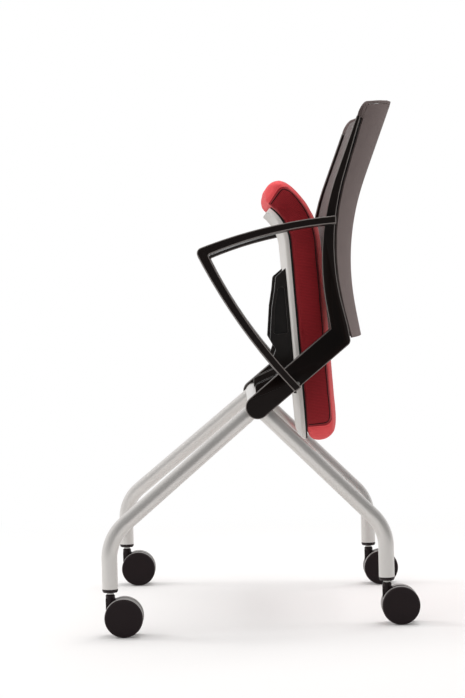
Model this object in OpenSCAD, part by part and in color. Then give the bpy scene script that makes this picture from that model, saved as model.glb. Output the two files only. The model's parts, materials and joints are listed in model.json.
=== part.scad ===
// Nesting chair on twin-wheel casters, with a seat that flips up so that
// the chairs push into each other. Drawn with the seat up.
// The sitter faces -Y. The origin lies on the floor under the cross tube.

/* [Tube frame] */
// Height of the cross tube's axis above the floor
axis_h = 352.5; // [330:0.5:400]
// Diameter of the cross tube
cross_d = 29; // [27:0.5:32]
// Diameter of the leg tubes
leg_d = 25; // [22:0.5:27]
// Wall of the steel tubes
tube_wall = 2; // [1.2:0.1:3]
// Distance from a side frame's outer face in to the axis of a leg's top
leg_inset = 34; // [33:0.5:50]
// Radius of the bend near each leg's lower end, on the tube's axis
leg_bend_r = 70; // [55:1:85]
// Height of the lower ends of the legs above the floor
leg_end_h = 75; // [72:0.5:80]

/* [Stance] */
// Distance from the cross tube forward to the front caster stems
front_reach = 239; // [215:1:260]
// Distance from the cross tube back to the rear caster stems
rear_reach = 200; // [180:1:225]
// How far a front caster's stem stands outside its leg's top
front_splay = 70.5; // [40:0.5:80]
// How far a rear caster's stem stands outside its leg's top
rear_splay = 7; // [0:0.5:16]
// Height at which a front leg's sloping run meets the line of its stem
front_knee_h = 155; // [145:1:170]
// Height at which a rear leg's sloping run meets the line of its stem
rear_knee_h = 153; // [145:1:170]

/* [Side frames] */
// Width over both side frames at the cross tube
side_w = 532; // [528:1:560]
// Thickness of a side frame across the chair
side_t = 14; // [13:0.5:18]
// Lean of each side frame towards the middle, in degrees
side_lean = 3; // [0:0.5:4]
// Width of the lower bar, seen from the side
bar_w = 38; // [34:1:44]
// Slope of the lower bar, in degrees
bar_angle = 39.3; // [34:0.1:44]
// Length of the lower bar from the cross tube to the inside of the elbow
bar_run = 169.5; // [155:0.5:185]
// Radius on the outside of the elbow
elbow_r = 10; // [4:1:16]
// How far the foot of the upright leans forward, in degrees
foot_lean = 9.9; // [6:0.1:14]
// Straight length of the upright's foot
foot_len = 31; // [20:1:50]
// Radius of the lumbar bend
lumbar_r = 408; // [320:1:480]
// How far the top of the upright leans back, in degrees
top_lean = 20.7; // [15:0.1:25]
// Straight length of the upright above the lumbar bend
top_len = 122; // [100:1:150]
// Depth of the upright at its foot, front to back
strip_foot = 27; // [22:1:32]
// Depth of the upright at the top of the back, front to back
strip_top = 4.5; // [4:0.5:8]

/* [Backrest] */
// Depth of the backrest's curve from its edge to the middle of its rear face
back_sag = 58; // [40:1:70]
// Distance between the backrest's two faces in the middle
belly_t = 8; // [6:0.5:12]
// Wall of the rear shell
shell_t = 2.4; // [1.8:0.1:2.6]
// Thickness of the front mesh
mesh_t = 1.6; // [1:0.1:1.8]
// Rise of the top edge in the middle
back_crown = 14; // [0:1:25]
// Radius of the backrest's upper corners
back_corner_r = 18; // [12:1:40]
// Height of the top rail
rail_t = 5; // [3:0.5:9]
// How far the backrest hangs below the inside of the elbow
back_drop = 16; // [8:1:22]
// Height of the bottom rail between the two faces
sill_h = 9; // [5:0.5:14]

/* [Armrests] */
// Width of an armrest
arm_w = 40; // [30:1:50]
// Thickness of an armrest's band
arm_t = 12.5; // [10:0.5:15]
// Distance from the cross tube forward to the tip of the armrest
arm_tip_reach = 93.5; // [70:0.5:115]
// Height of the armrest's tip above the cross tube
arm_tip_rise = 249; // [235:1:262]
// Distance up the upright at which the armrest is fixed
arm_fix_run = 171; // [155:1:190]
// Bulge of the armrest's upper edge
arm_top_bow = 8.3; // [0:0.1:14]
// Bulge of the armrest's lower limb
arm_limb_bow = 10; // [0:0.5:16]
// Outside radius at the armrest's tip
arm_tip_r = 9; // [4:0.5:12]
// Inside radius at the armrest's tip
arm_throat_r = 3; // [1:0.5:5]
// How far the lower limb reaches past the lower bar's underside
arm_past = 1; // [0:0.5:4]

/* [Seat hinge] */
// Distance of the hinge from the cross tube, along the lower bar
pivot_run = 66; // [60:1:74]
// Diameter of the hinge shaft
shaft_d = 16; // [12:0.5:18]
// Angle through which the seat flips up
fold_angle = 82; // [70:1:84]
// Backward slope of the seat when it is down, in degrees
seat_tilt = 4.3; // [2:0.1:6]
// Distance from the middle of the chair to each seat support
support_x = 130; // [100:1:150]
// Thickness of a seat support across the chair
support_t = 26; // [18:1:34]
// Distance from the hinge forward to a support's front end
support_ahead = 177; // [160:1:190]
// Distance from the hinge back to a support's rear end
support_behind = 28; // [24:1:40]
// Depth of a support below the seat pan
support_depth = 34; // [30:1:38]
// Thickness of the web in a seat support
support_web = 7; // [4:0.5:12]
// Thickness of a support's rear flange
support_rim = 4; // [3:0.5:5]
// Width of metal around a support's bushing
ear_wall = 7; // [5:0.5:8]
// Wall of the bushing in a seat support
bushing_t = 2; // [1:0.25:3]
// Thickness of the cheeks that carry the hinge on the cross tube
cheek_t = 4; // [3:0.5:6]
// Width of metal around the shaft in a cheek
eye_wall = 3.5; // [3:0.5:4]
// Diameter of the stop bar between two cheeks
stop_d = 7; // [5:0.5:8]
// Height of the stop bar above the cross tube's axis
stop_rise = 26.5; // [25:0.5:28]
// Distance of the stop bar behind the cross tube's axis
stop_back = 4; // [3:0.5:5]
// Width of metal around the stop bar in a cheek
stop_wall = 1.5; // [1:0.5:3]
// Width of the notch that lands on the stop bar
notch_w = 34; // [28:1:40]
// Depth of the notch
notch_depth = 8; // [4:0.5:9]
// Thickness of the heel that meets the stop bar when the seat is up
heel_w = 8; // [6:0.5:9]

/* [Seat] */
// Width of the seat cushion at the front
seat_front_w = 440; // [400:1:446]
// Width of the seat cushion at the back
seat_back_w = 416; // [390:1:424]
// Distance of the cushion's rear end behind the hinge
seat_behind = 108; // [95:1:115]
// Distance from the hinge forward to the start of the nose
seat_ahead = 216; // [190:1:240]
// Radius of the nose's downward curve
nose_r = 104; // [80:1:130]
// Angle through which the nose curves down
nose_turn = 50; // [35:1:60]
// Thickness of the cushion at its sides
cushion_t = 39.5; // [30:0.5:46]
// Height of the cushion's crown
cushion_crown = 9.5; // [0:0.5:14]
// Radius of the cushion's edges at its seams
seam_r = 4; // [2:0.5:6]
// How far the cushion's sides draw in between their seams
cushion_draw = 2.5; // [0:0.5:5]
// Radius of the cushion's rear corners
rear_corner_r = 60; // [40:1:80]
// Radius of the cushion's front corners
front_corner_r = 45; // [30:1:70]
// Thickness of the board under the cushion
board_t = 3; // [2:0.5:5]
// Thickness of the seat pan
pan_t = 8; // [6:0.5:12]
// Radius of the pan's lower edge
pan_edge_r = 5; // [3:0.5:6]
// Distance from the hinge's axis up to the seat pan
pan_rise = 13; // [12:0.5:18]
// How far the board's edge stays inside the cushion's edge
board_inset = 6; // [4:0.5:10]
// How far the pan's edge stays inside the cushion's edge
pan_inset = 4; // [3:0.5:10]

/* [Casters] */
// Diameter of the wheels
wheel_d = 61; // [56:1:66]
// Distance of the axle behind the stem
trail = 21; // [18:0.5:24]
// Width over both wheels of a caster
caster_w = 45; // [40:0.5:50]
// Width of the gap between the wheels
wheel_gap = 13; // [12:0.5:15]
// Thickness of the tyre
tyre_t = 5; // [3:0.5:7]
// Width of the bevel on a tyre's edges
tyre_bevel = 1.5; // [0.5:0.5:2]
// Thickness of the disc on a wheel's outer side
disc_t = 3.5; // [2:0.5:5]
// Width of the raised rim on a disc
disc_rim = 4; // [2:0.5:6]
// Depth of the dish inside a disc's rim
disc_dish = 0.4; // [0.2:0.1:0.8]
// Diameter of a wheel's hub
hub_d = 18; // [14:1:24]
// Thickness of the rim under a tyre
rim_t = 2.5; // [2:0.5:4]
// Depth of the recess between hub and rim
recess = 3; // [1:0.5:5]
// Diameter of the axle
axle_d = 6; // [5:0.5:8]
// Diameter of the hood's neck
neck_d = 14.6; // [13:0.2:17]
// Width of the bevel on top of the neck
neck_bevel = 1.5; // [0.5:0.5:2.5]
// Gap between the hood's web and a wheel
wheel_play = 0.5; // [0.3:0.1:1]
// Radius of the web's corners
hood_r = 8; // [4:1:8]
// Diameter of the stem in the leg
stem_d = 11; // [10:0.5:11.5]
// Diameter of the stem in the hood
pintle_d = 8; // [6:0.5:8.5]
// Height of the collar under a leg's end
collar_h = 5.4; // [4:0.2:7]
// Length of the bright stem that shows between collar and hood
stem_show = 3; // [2:0.2:5]

/* [Fasteners] */
// Diameter of the screws
screw_d = 5; // [4:0.5:6]
// Diameter of the screw heads
head_d = 9; // [8:0.5:11]
// Height of the screw heads
head_h = 3; // [2:0.5:4]
// Thickness that a seat screw clamps
screw_grip = 10; // [8:0.5:12]
// Distance of the front seat screw behind its support's front end
screw_setback = 20; // [16:1:30]
// Depth to which an arm screw bites into the armrest
screw_bite = 16; // [10:1:24]

/* [Hidden] */
$fn = 64;

// Sides of the chair and ends of its legs, as signs
left = 1;
right = -1;
front = -1;
rear = 1;

// Clearances: a cut's overrun, a seat for a fixed part, a running fit,
// the gap at a soft part and the gap at a stop
over = 1;
seat_gap = 0.1;
run_gap = 0.06;
soft_gap = 0.3;
stop_gap = 0.3;
// Lower edge of the hinge cheek, as a share of the cross tube's radius
foot_share = 0.7;

// Colours
silver = [0.75, 0.73, 0.71];
black = [0.1, 0.08, 0.08];
taupe = [0.4, 0.36, 0.35];
red = [0.7, 0.12, 0.15];
white = [0.85, 0.83, 0.8];
grey = [0.5, 0.49, 0.47];
steel = [0.6, 0.6, 0.62];

// Plane geometry
function unit(v) = v / norm(v);
function turned(v, a) = [v.x * cos(a) - v.y * sin(a), v.x * sin(a) + v.y * cos(a)];
function crossed(a, b) = a.x * b.y - a.y * b.x;
// Arc of radius r that rounds the corner p between the points a and b
function fillet(a, p, b, r, steps = 6) =
    let (u = unit(a - p), w = unit(b - p), half = acos(u * w) / 2,
         c = p + unit(u + w) * r / sin(half),
         v0 = unit(p + u * r / tan(half) - c), v1 = unit(p + w * r / tan(half) - c),
         open = acos(v0 * v1))
    [for (i = [0:steps])
        let (k = i / steps) c + r * (sin(open * (1 - k)) * v0 + sin(open * k) * v1) / sin(open)];
// Outline with its corners rounded, one radius for each point, 0 for a sharp one
function rounded(pts, radii) =
    [for (i = [0:len(pts) - 1])
        let (a = pts[(i + len(pts) - 1) % len(pts)], b = pts[(i + 1) % len(pts)])
        each (radii[i] > 0 ? fillet(a, pts[i], b, radii[i]) : [pts[i]])];
// Outline, drawn anticlockwise, moved inwards by d
function inset(pts, d) =
    [for (i = [0:len(pts) - 1])
        let (p = pts[i], u = unit(pts[(i + len(pts) - 1) % len(pts)] - p),
             w = unit(pts[(i + 1) % len(pts)] - p), turn = crossed(w, u))
        p + (abs(turn) < 0.001 ? [-w.y, w.x] * d : (u + w) * d / turn)];
// Points from a to b along a shallow curve that bulges to the right by sag
function bowed(a, b, sag, steps = 10) =
    let (n = unit([b.y - a.y, a.x - b.x]))
    [for (i = [0:steps]) let (k = i / steps) a + (b - a) * k + n * 4 * sag * k * (1 - k)];
// Closed skin over a stack of rings, each of n points that run along one
// side and back along the other, n being even
module skin(rings) {
    n = len(rings[0]);
    last = len(rings) - 1;
    polyhedron(
        points = [for (r = rings) each r],
        faces = concat(
            [for (i = [0:n / 2 - 2]) each [[i, i + 1, n - 1 - i], [i + 1, n - 2 - i, n - 1 - i]]],
            [for (k = [0:last - 1]) for (i = [0:n - 1])
                each [[k * n + i, (k + 1) * n + i, k * n + (i + 1) % n],
                      [k * n + (i + 1) % n, (k + 1) * n + i, (k + 1) * n + (i + 1) % n]]],
            [for (i = [0:n / 2 - 2])
                each [[last * n + i, last * n + n - 1 - i, last * n + i + 1],
                      [last * n + i + 1, last * n + n - 1 - i, last * n + n - 2 - i]]]),
        convexity = 6);
}

// Depth of the side frames' sockets for the cross tube and for the hinge shaft
socket_depth = 9;
shaft_socket = 7;
// Places of the leg tops and the caster stems
leg_top_x = side_w / 2 - leg_inset;
function stem_x(end) = leg_top_x + (end == front ? front_splay : rear_splay);
function stem_y(end) = end * (end == front ? front_reach : rear_reach);

// Tube frame
module cross_tube() {
    reach = side_w / 2 - side_t + socket_depth;
    color(silver) translate([0, 0, axis_h]) rotate([0, 90, 0]) difference() {
        cylinder(d = cross_d, h = 2 * reach, center = true);
        cylinder(d = cross_d - 2 * tube_wall, h = 2 * (reach + over), center = true);
    }
}

// The tube is a hair slimmer in its bend, which laps into the straight runs by
// an angle
bend_neck = 0.02;
bend_lap = 0.5;
// Solid rod of diameter d along a leg: up from the stem, round the bend and
// along the slope to the cross tube, which is span away. Its ends run on by more
module leg_rod(d, span, knee, more) {
    slope = atan2(axis_h - knee, span);
    turn = 90 - slope;
    setback = leg_bend_r * tan(turn / 2);
    run = norm([span, axis_h - knee]) - setback;
    translate([0, 0, knee - setback]) {
        rotate([180, 0, 0]) cylinder(d = d, h = knee - setback - leg_end_h + more);
        translate([leg_bend_r, 0, 0]) mirror([1, 0, 0]) rotate([90, 0, 0]) {
            rotate([0, 0, -bend_lap]) rotate_extrude(angle = turn + 2 * bend_lap)
                translate([leg_bend_r, 0]) circle(d = d - bend_neck);
            rotate([0, 0, turn]) translate([leg_bend_r, 0, 0]) rotate([-90, 0, 0])
                cylinder(d = d, h = run + more);
        }
    }
}

module leg(side, end) {
    knee = end == front ? front_knee_h : rear_knee_h;
    splay = stem_x(end) - leg_top_x;
    span = norm([splay, stem_y(end)]);
    heading = atan2(-stem_y(end), -side * splay);
    color(silver) difference() {
        translate([side * stem_x(end), stem_y(end), 0]) rotate([0, 0, heading]) difference() {
            leg_rod(leg_d, span, knee, 0);
            leg_rod(leg_d - 2 * tube_wall, span, knee, over);
        }
        translate([0, 0, axis_h]) rotate([0, 90, 0]) cylinder(d = cross_d, h = side_w, center = true);
        translate([-side_w, end == front ? 0 : -side_w, 0]) cube([2 * side_w, side_w, axis_h + side_w]);
    }
}

// Side frames. Each is drawn flat, with the point [y, z] measured from the
// cross tube's axis, and then leans in by side_lean
bar_dir = [cos(bar_angle), sin(bar_angle)];
bar_up = [-sin(bar_angle), cos(bar_angle)];
elbow = bar_run * bar_dir + bar_w / 2 * bar_up;
pivot = pivot_run * bar_dir;
bend_len = lumbar_r * (foot_lean + top_lean) * PI / 180;
back_run = foot_len + bend_len + top_len;

// Direction up the upright and across it to the rear, where it leans back by h
function along(h) = [sin(h), cos(h)];
function across(h) = [cos(h), -sin(h)];
bend_start = elbow + foot_len * along(-foot_lean);
bend_centre = bend_start + lumbar_r * across(-foot_lean);
bend_end = bend_centre - lumbar_r * across(top_lean);
function lean(s) =
    s < foot_len ? -foot_lean : min(top_lean, -foot_lean + (s - foot_len) / lumbar_r * 180 / PI);
// Front edge of the upright at the distance s above the elbow
function spine(s) =
    s < foot_len ? elbow + s * along(-foot_lean)
    : s < foot_len + bend_len ? bend_centre - lumbar_r * across(lean(s))
    : bend_end + (s - foot_len - bend_len) * along(top_lean);
function strip(s) = strip_foot + (strip_top - strip_foot) * s / back_run;
function spine_rear(s) = spine(s) + strip(s) * across(lean(s));
rail_start = back_run - back_corner_r - rail_t;
upright_steps = [for (i = [0:16]) rail_start * i / 16];

module on_side(side) {
    mirror([side == left ? 0 : 1, 0, 0]) translate([side_w / 2, 0, axis_h])
        rotate([0, -side_lean, 0]) rotate([90, 0, 90]) children();
}

module side_outline() {
    rear_foot = spine_rear(0);
    drop = (rear_foot * bar_up + bar_w / 2) / (along(-foot_lean) * bar_up);
    heel = rear_foot - drop * along(-foot_lean);
    toe = elbow - bar_w * bar_up;
    circle(d = bar_w);
    rotate(bar_angle) translate([0, -bar_w / 2]) square([bar_run, bar_w]);
    polygon(concat(
        [toe],
        fillet(toe, heel, rear_foot, elbow_r),
        [for (s = upright_steps) spine_rear(s)],
        [for (i = [len(upright_steps) - 1:-1:0]) spine(upright_steps[i])]));
}

module side_frame(side) {
    color(black) difference() {
        on_side(side) translate([0, 0, -side_t]) linear_extrude(side_t) side_outline();
        blind_sockets();
        arm_screw_places(side) translate([0, 0, -over]) {
            cylinder(d = screw_d + 2 * seat_gap, h = side_t + 2 * over);
            cylinder(d = head_d + 2 * seat_gap, h = head_h + over);
        }
    }
}

// Sockets on the inner faces for the cross tube and the hinge shaft
module blind_sockets() {
    for (side = [left, right]) {
        deep = side_w / 2 - side_t + socket_depth;
        translate([0, 0, axis_h]) rotate([0, side * 90, 0]) cylinder(d = cross_d + 2 * seat_gap, h = deep);
        translate([0, pivot.x, axis_h + pivot.y]) rotate([0, side * 90, 0])
            cylinder(d = shaft_d + 2 * seat_gap, h = shaft_reach + seat_gap);
    }
}

// Backrest. A point of it lies x from the middle and s above the elbow
side_x = side_w / 2;
function rise(z) = axis_h + z * cos(side_lean);
function half_w(s) = side_x - spine(s).y * sin(side_lean);
function lifted(x, s) = s + back_crown * (1 - pow(x / half_w(s), 2)) * pow(max(s, 0) / back_run, 4);
function bulge(x, s) = 1 - pow(x / half_w(s), 2);
function back_depth(x, s) = strip(s) / cos(lean(s)) + (belly_t - strip(s) / cos(lean(s))) * bulge(x, s);
// Point of the backrest at the share k of its depth, 0 in front and 1 behind, moved back by off
function back_point(x, s, k, off = 0) =
    let (t = lifted(x, s), p = spine(t))
    [x, p.x + (back_sag - belly_t) * bulge(x, s) + k * back_depth(x, s) + off, rise(p.y)];
// Half width at the height s inside an outline whose side is cut in by d, top by e
function inner_half(s, d, e) =
    let (r = back_corner_r - d / 2, top = back_run - e)
    s < top - r ? half_w(s) - d : half_w(s) - d - r + sqrt(max(0, r * r - pow(s - top + r, 2)));

skin_rows = concat([for (i = [0:13]) -back_drop + (rail_start + back_drop) * i / 13],
                   [for (a = [15:15:90]) rail_start + (back_run - rail_t - soft_gap - rail_start) * sin(a)]);
function skin_row(s, k, off0, off1) =
    let (h = inner_half(s, side_t + soft_gap, rail_t + soft_gap), n = 16)
    concat([for (i = [0:n]) back_point(h * (2 * i / n - 1), s, k, off0)],
           [for (i = [n:-1:0]) back_point(h * (2 * i / n - 1), s, k, off1)]);

module back_shell() {
    color(taupe) skin([for (s = skin_rows) skin_row(s, 1, -shell_t, 0)]);
}

module back_mesh() {
    color(grey) skin([for (s = skin_rows) skin_row(s, 0, 0, mesh_t)]);
}

// Ring of the top rail: outer and inner edge, front and rear
function rail_ring(xo, so, xi, si) =
    [back_point(xo, so, 0), back_point(xi, si, 0), back_point(xi, si, 1), back_point(xo, so, 1)];

module top_rail() {
    r = back_corner_r;
    ri = r - side_t / 2;
    top = back_run;
    corner = [for (a = [0:10:90])
        let (so = top - r + r * sin(a), si = top - rail_t - ri + ri * sin(a),
             xo = half_w(so) - r + r * cos(a), xi = half_w(si) - side_t - ri + ri * cos(a))
        [xo, so, xi, si]];
    start = [half_w(rail_start + seat_gap), rail_start + seat_gap,
             half_w(rail_start + seat_gap) - side_t, rail_start + seat_gap];
    half = concat([start], corner);
    edge = half[len(half) - 1];
    middle = [for (k = [0.75, 0.5, 0.25, 0]) [edge[0] * k, top, edge[2] * k, top - rail_t]];
    path = concat(half, middle,
                  [for (i = [len(middle) - 2:-1:0]) let (m = middle[i]) [-m[0], m[1], -m[2], m[3]]],
                  [for (i = [len(half) - 1:-1:0]) let (m = half[i]) [-m[0], m[1], -m[2], m[3]]]);
    color(black) skin([for (m = path) rail_ring(m[0], m[1], m[2], m[3])]);
}

module bottom_rail() {
    n = 16;
    function sill_ring(x) = [for (s = [-back_drop + shell_t, -back_drop + shell_t + sill_h])
        each (s < -back_drop + shell_t + sill_h / 2
              ? [back_point(x, s, 0, mesh_t + seat_gap), back_point(x, s, 1, -shell_t - seat_gap)]
              : [back_point(x, s, 1, -shell_t - seat_gap), back_point(x, s, 0, mesh_t + seat_gap)])];
    h = half_w(0) - side_t - soft_gap;
    color(black) skin([for (i = [0:n]) sill_ring(h * (1 - 2 * i / n))]);
}

// Armrests, drawn flat like the side frames
arm_fix = spine(arm_fix_run);
arm_end_y = spine_rear(arm_fix_run).x;
arm_tip = [-arm_tip_reach, arm_tip_rise];
limb_end = pivot - (bar_w / 2 + arm_past) * bar_up;
limb_dir = unit(limb_end - arm_tip);
limb_out = [-limb_dir.y, limb_dir.x];
limb_screw = pivot - (shaft_d / 2 + head_d / 2 + tube_wall) * unit(bar_up - bar_dir / 2);

module arm_outline() {
    upper_rear = [arm_end_y, arm_fix.y + arm_t / 2];
    lower_rear = [arm_end_y, arm_fix.y - arm_t / 2];
    limb_low = limb_end - limb_out * arm_t / 2;
    limb_high = limb_end + limb_out * arm_t / 2;
    rear_dir = unit(upper_rear - arm_tip);
    throat = arm_tip + arm_t * (rear_dir + limb_dir) / abs(crossed(rear_dir, limb_dir));
    top_edge = bowed(upper_rear, arm_tip, arm_top_bow);
    front_edge = bowed(arm_tip, limb_low, arm_limb_bow);
    back_edge = bowed(limb_high, throat, -arm_limb_bow);
    under_edge = bowed(throat, lower_rear, -arm_top_bow);
    n = len(top_edge);
    polygon(concat(
        [for (i = [0:n - 2]) top_edge[i]],
        fillet(top_edge[n - 2], arm_tip, front_edge[1], arm_tip_r),
        [for (i = [1:n - 1]) front_edge[i]],
        [for (i = [0:n - 2]) back_edge[i]],
        fillet(back_edge[n - 2], throat, under_edge[1], arm_throat_r),
        [for (i = [1:n - 1]) under_edge[i]]));
}

module arm(side) {
    color(black) difference() {
        on_side(side) linear_extrude(arm_w) arm_outline();
        arm_screw_places(side) cylinder(d = screw_d + 2 * seat_gap, h = side_t + screw_bite + seat_gap);
    }
}

// Places the child where each arm screw starts, on the side frame's inner face
module arm_screw_places(side) {
    on_side(side) for (p = [limb_screw, (spine(arm_fix_run) + spine_rear(arm_fix_run)) / 2])
        translate([p.x, p.y, -side_t]) children();
}

module arm_screws() {
    color(steel) for (side = [left, right]) arm_screw_places(side) {
        cylinder(d = screw_d, h = side_t + screw_bite);
        cylinder(d = head_d, h = head_h - seat_gap);
    }
}

// Seat hinge
shaft_reach = side_w / 2 - side_t - pivot.y * sin(side_lean) + shaft_socket;
module pivot_shaft() {
    color(steel) translate([0, pivot.x, axis_h + pivot.y]) rotate([0, 90, 0])
        cylinder(d = shaft_d, h = 2 * shaft_reach, center = true);
}

// Seat parts are drawn from the hinge's axis, with +Y to the rear and +Z
// square to the seat, and then turned up
module in_seat() {
    translate([0, pivot.x, axis_h + pivot.y]) rotate([-seat_tilt - fold_angle, 0, 0]) children();
}

// Place of the stop bar, seen from the seat, with the seat down and up
stop = [stop_back, stop_rise];
stop_when_down = turned(stop - pivot, seat_tilt);
stop_when_up = turned(stop - pivot, seat_tilt + fold_angle);
ear_r = shaft_d / 2 + bushing_t + ear_wall;
heel_turn = asin((heel_w / 2 + stop_d / 2 + stop_gap) / norm(stop_when_up));

// A support's lower edge and its pocket, as shares of its length ahead of the
// hinge and of its depth below the pan
edge_shares = [[1, 0], [0.93, 0.51], [0.81, 0.62], [0.65, 0.82]];
pocket_shares = [[0.84, 0.14], [0.82, 0.46], [0.64, 0.69], [0.4, 0.84], [0.4, 0.14]];
function in_support(shares) =
    [for (k = shares) [-support_ahead * k.x, pan_rise - seat_gap - support_depth * k.y]];

module support_outline() {
    cradle_r = stop_d / 2 + stop_gap;
    lip = [notch_w / 2, -notch_depth];
    apex = stop_when_down + [0, cradle_r * norm(lip) / lip.x];
    union() {
        polygon(rounded(concat(in_support(edge_shares), [
            apex + [-lip.x, lip.y],
            apex,
            apex + lip,
            [0, -ear_r / 2],
            [support_behind, pan_rise - support_rim],
            [support_behind, pan_rise - seat_gap]]),
            [0, ear_wall, ear_wall, ear_wall, support_rim, cradle_r, support_rim, 0, support_rim / 2, 0]));
        intersection() {
            circle(r = ear_r);
            translate([-ear_r, -ear_r]) square([2 * ear_r, ear_r + pan_rise - seat_gap]);
        }
        rotate(atan2(stop_when_up.y, stop_when_up.x) + heel_turn) translate([0, -heel_w / 2])
            square([norm(stop_when_up), heel_w]);
    }
}

// Stations of the seat screws, ahead of the hinge
screw_stations = [support_ahead - screw_setback, ear_r + head_d];
module seat_support(side) {
    color(black) in_seat() translate([side * support_x, 0, 0]) difference() {
        rotate([90, 0, 90]) difference() {
            linear_extrude(support_t, center = true) support_outline();
            cylinder(d = shaft_d + 2 * bushing_t + 2 * seat_gap, h = support_t + 2 * over, center = true);
            for (m = [0, 1]) mirror([0, 0, m]) translate([0, 0, support_web / 2])
                linear_extrude(support_t)
                    polygon(rounded(in_support(pocket_shares), [for (k = pocket_shares) support_rim]));
        }
        for (l = screw_stations) translate([0, -l, pan_rise - screw_grip]) {
            cylinder(d = screw_d + 2 * seat_gap, h = pan_rise);
            translate([0, 0, -support_depth]) cylinder(d = head_d + 2 * seat_gap, h = support_depth);
        }
    }
}

// Brackets on the cross tube: two cheeks at each seat support that carry the
// hinge shaft, with the stop bar between them
module cheek_outline() {
    neck_r = shaft_d / 2 + eye_wall / 2;
    corner_r = stop_d / 2 + stop_wall;
    dir = unit(pivot - stop);
    up = [-dir.y, dir.x];
    down = [bar_dir.y, -bar_dir.x];
    crest = stop + corner_r * up;
    slope = pivot + neck_r * up - crest;
    difference() {
        union() {
            translate(pivot) circle(r = shaft_d / 2 + eye_wall);
            polygon(rounded([crest - slope * (crest.x - stop.x + corner_r) / slope.x, stop - [corner_r, stop_rise],
                             foot_share * cross_d / 2 * down, pivot + neck_r * down, pivot, pivot + neck_r * up],
                            [corner_r, 0, 0, 0, 0, 0]));
        }
        circle(d = cross_d + 2 * seat_gap);
        translate(pivot) circle(d = shaft_d + 2 * seat_gap);
    }
}

module hinge_bracket(side) {
    inside = support_t / 2 + bushing_t + seat_gap;
    color(silver) translate([side * support_x, 0, axis_h]) rotate([90, 0, 90]) {
        for (m = [0, 1]) mirror([0, 0, m]) translate([0, 0, inside]) linear_extrude(cheek_t) cheek_outline();
        translate(stop) cylinder(d = stop_d, h = 2 * inside + cheek_t, center = true);
    }
}

module pivot_bushings() {
    color(grey) for (side = [left, right]) in_seat() translate([side * support_x, 0, 0]) rotate([0, 90, 0])
        difference() {
            union() {
                cylinder(d = shaft_d + 2 * bushing_t, h = support_t, center = true);
                for (m = [0, 1]) mirror([0, 0, m]) translate([0, 0, support_t / 2])
                    cylinder(d = shaft_d + 4 * bushing_t, h = bushing_t);
            }
            cylinder(d = shaft_d + 2 * run_gap, h = support_t + 4 * bushing_t + over, center = true);
        }
}

// Seat slab. Its middle line runs forward from the rear end, first flat,
// then round the nose. A station l is a distance along it
flat_len = seat_behind + seat_ahead;
slab_len = flat_len + nose_r * nose_turn * PI / 180 + cushion_t / 2;
mid_rise = pan_rise + pan_t + board_t + cushion_t / 2;
// Point at the station l, x from the middle and n above the middle line
function slab_point(l, x, n) =
    let (a = max(0, l - flat_len) / nose_r * 180 / PI)
    [x,
     seat_behind - min(l, flat_len) - (nose_r + n) * sin(a),
     mid_rise - nose_r + (nose_r + n) * cos(a)];
// Half width at the station l of a slab from station a to b, inset by d from the cushion's sides
function slab_half(l, a, b, d) =
    let (w = (seat_back_w + (seat_front_w - seat_back_w) * l / slab_len) / 2 - d,
         rr = rear_corner_r - d, rf = front_corner_r - d)
    w - (l - a < rr ? rr - sqrt(max(0, rr * rr - pow(rr - l + a, 2))) : 0)
      - (b - l < rf ? rf - sqrt(max(0, rf * rf - pow(rf - b + l, 2))) : 0);
// Stations along every layer of the seat, closer together round the nose
layer_stations = concat(
    [for (i = [1:4]) rear_corner_r * 1.2 + (flat_len - rear_corner_r * 1.2) * i / 4],
    [for (i = [1:5]) flat_len + nose_r * nose_turn * PI / 180 * i / 9]);
// Stations from a to b, with those of the rounded corners at both ends
function stations(a, b) = concat(
    [for (k = [6:12:90]) a + rear_corner_r * (1 - cos(k))],
    [for (l = layer_stations) if (l < b - front_corner_r - run_gap) l],
    [for (k = [90:-12:6]) b - front_corner_r * (1 - cos(k))]);

// Ring of a plain slab from n0 to n1, with its lower edge rounded by r
function plate_ring(l, h, n0, n1, r) = [
    for (k = [0:6]) slab_point(l, -h + 2 * h * k / 6 + (k == 0 ? r : k == 6 ? -r : 0), n0),
    slab_point(l, h - r / 4, n0 + r / 3),
    slab_point(l, h, n0 + r),
    for (k = [6:-1:0]) slab_point(l, -h + 2 * h * k / 6, n1),
    slab_point(l, -h, n0 + r),
    slab_point(l, -h + r / 4, n0 + r / 3)];

// Plain slab from n0 to n1, inset by d from the cushion's edge
module plate(n0, n1, d, r) {
    b = slab_len - cushion_t / 2 - d;
    skin([for (l = stations(d, b)) plate_ring(l, slab_half(l, d, b, d), n0, n1, r)]);
}

board_top = -cushion_t / 2 - soft_gap;
module seat_board() {
    color(black) in_seat() plate(board_top - board_t + soft_gap, board_top, board_inset, board_t / 6);
}

module seat_pan() {
    n1 = -cushion_t / 2 - board_t - seat_gap;
    color(white) in_seat() plate(n1 + seat_gap - pan_t, n1, pan_inset, pan_edge_r);
}

// Ring of the cushion: flat below, sides drawn in between two seams, crowned above
function cushion_ring(l) =
    let (d = min(l, slab_len - l), r = cushion_t / 2,
         f = d < r ? sqrt(1 - pow(1 - d / r, 2)) : 1,
         h = slab_half(l, 0, slab_len, 0), t = f * r, e = min(h, seam_r * f))
    [for (k = [0:6]) slab_point(l, (h - e) * (k / 3 - 1), -t),
     slab_point(l, h - e / 4, -t + e / 3),
     slab_point(l, h - cushion_draw * f, -t / 3),
     slab_point(l, h - cushion_draw * f, t / 3),
     slab_point(l, h, t - e),
     slab_point(l, h - e / 4, t - e / 4),
     for (k = [0:12]) let (u = cos(15 * k))
         slab_point(l, (h - e) * u, t + cushion_crown * f * sqrt(1 - pow(u, 4))),
     slab_point(l, -h + e / 4, t - e / 4),
     slab_point(l, -h, t - e),
     slab_point(l, -h + cushion_draw * f, t / 3),
     slab_point(l, -h + cushion_draw * f, -t / 3),
     slab_point(l, -h + e / 4, -t + e / 3)];

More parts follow.
